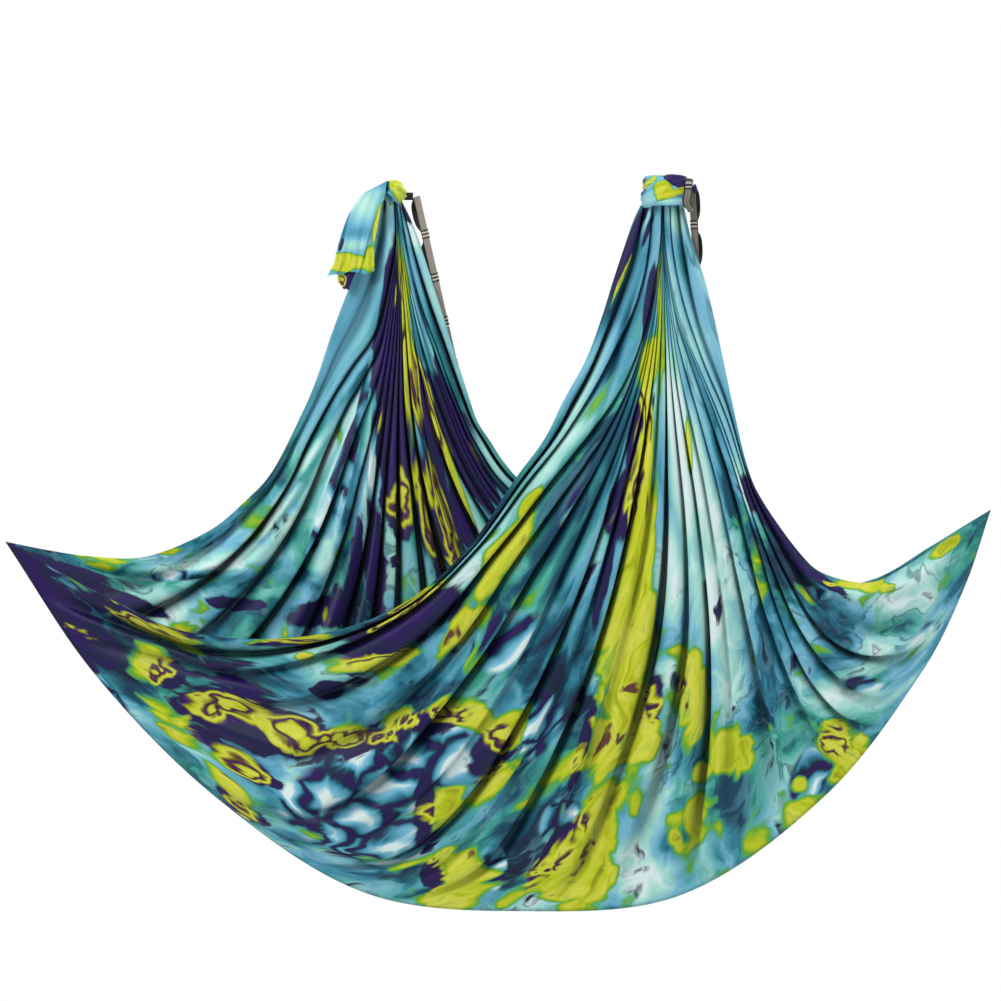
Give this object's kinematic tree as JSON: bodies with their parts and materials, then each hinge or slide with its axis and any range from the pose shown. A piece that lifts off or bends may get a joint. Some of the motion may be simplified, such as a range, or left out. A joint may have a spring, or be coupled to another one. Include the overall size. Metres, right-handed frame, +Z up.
{
  "type": "aerial hammock",
  "caption": "Wide dyed cloth tied in a knot at each end and hung as a deep pouch, with a looped webbing strap from each knot.",
  "frame": {"origin": "midpoint between the two knot eyes that the hammock hangs on", "axes": "+X from the left tip to the right tip, +Y into the depth away from the viewer of the picture, +Z up; the swing axis joins the two eyes and lies level, turned from +X"},
  "size_m": [2.07, 0.6579, 1.5442],
  "materials": {
    "sheet_cloth": "satin tricot, marbled dye in blue, teal, lime and purple",
    "knot_cloth": "satin tricot, the same dyed cloth drawn tight",
    "left_spine_webbing": "flat woven webbing, grey beige",
    "right_spine_webbing": "flat woven webbing, olive grey",
    "loop_webbing": "flat woven webbing, black",
    "tack_thread": "dense rows of black stitching",
    "anchor_webbing": "rolled black webbing"
  },
  "bodies": {
    "anchors": {"left_anchor_webbing": "anchor_webbing", "right_anchor_webbing": "anchor_webbing"},
    "hammock": {"front_sheet": "sheet_cloth", "back_sheet": "sheet_cloth", "left_knot": "knot_cloth", "left_knot_turn": "knot_cloth", "right_knot": "knot_cloth", "right_knot_turn": "knot_cloth", "right_knot_low_turn": "knot_cloth", "left_strap_lead": "left_spine_webbing", "right_strap_lead": "right_spine_webbing"},
    "left_tail": {"left_knot_tail": "knot_cloth"},
    "left_strap_upper_section": {"left_strap_upper": "left_spine_webbing", "left_loops_upper": "loop_webbing", "left_bar_tack_1": "tack_thread", "left_bar_tack_2": "tack_thread", "left_bar_tack_3": "tack_thread"},
    "left_strap_middle_section": {"left_strap_middle": "left_spine_webbing", "left_loops_middle": "loop_webbing", "left_bar_tack_4": "tack_thread", "left_bar_tack_5": "tack_thread", "left_bar_tack_6": "tack_thread"},
    "left_strap_lower_section": {"left_strap_lower": "left_spine_webbing", "left_loops_lower": "loop_webbing", "left_bar_tack_7": "tack_thread", "left_bar_tack_8": "tack_thread"},
    "right_strap_upper_section": {"right_strap_upper": "right_spine_webbing", "right_loops_upper": "loop_webbing", "right_bar_tack_1": "tack_thread", "right_bar_tack_2": "tack_thread", "right_bar_tack_3": "tack_thread"},
    "right_strap_middle_section": {"right_strap_middle": "right_spine_webbing", "right_loops_middle": "loop_webbing", "right_bar_tack_4": "tack_thread", "right_bar_tack_5": "tack_thread", "right_bar_tack_6": "tack_thread"},
    "right_strap_lower_section": {"right_strap_lower": "right_spine_webbing", "right_loops_lower": "loop_webbing", "right_bar_tack_7": "tack_thread", "right_bar_tack_8": "tack_thread"}
  },
  "joints": [
    {"name": "hammock_swing", "type": "hinge", "parent": "anchors", "child": "hammock", "pos_m": [0, 0, 0], "axis": [0.7539, -0.657, 0], "range_deg": [-45, 45]},
    {"name": "left_tail_lift", "type": "hinge", "parent": "hammock", "child": "left_tail", "pos_m": [-0.33204, 0.228, 0.0042], "axis": [0, 1, 0], "range_deg": [0, 60]},
    {"name": "left_strap_swing", "type": "hinge", "parent": "hammock", "child": "left_strap_upper_section", "pos_m": [-0.23956, 0.264, -0.0105], "axis": [0.9137, 0.3326, 0.2334], "range_deg": [0, 40]},
    {"name": "left_strap_upper_fold", "type": "hinge", "parent": "left_strap_upper_section", "child": "left_strap_middle_section", "pos_m": [-0.1777, 0.28652, -0.28471], "axis": [0.9137, 0.3326, 0.2334], "range_deg": [0, 30]},
    {"name": "left_strap_lower_fold", "type": "hinge", "parent": "left_strap_middle_section", "child": "left_strap_lower_section", "pos_m": [-0.11583, 0.30903, -0.55892], "axis": [0.9137, 0.3326, 0.2334], "range_deg": [0, 30]},
    {"name": "right_strap_swing", "type": "hinge", "parent": "hammock", "child": "right_strap_upper_section", "pos_m": [0.33726, -0.228, 0.0063], "axis": [0.9658, -0.2588, 0.0175], "range_deg": [0, 40]},
    {"name": "right_strap_upper_fold", "type": "hinge", "parent": "right_strap_upper_section", "child": "right_strap_middle_section", "pos_m": [0.35212, -0.19135, -0.27291], "axis": [0.9658, -0.2588, 0.0175], "range_deg": [0, 30]},
    {"name": "right_strap_lower_fold", "type": "hinge", "parent": "right_strap_middle_section", "child": "right_strap_lower_section", "pos_m": [0.36699, -0.1547, -0.55213], "axis": [0.9658, -0.2588, 0.0175], "range_deg": [0, 30]}
  ]
}
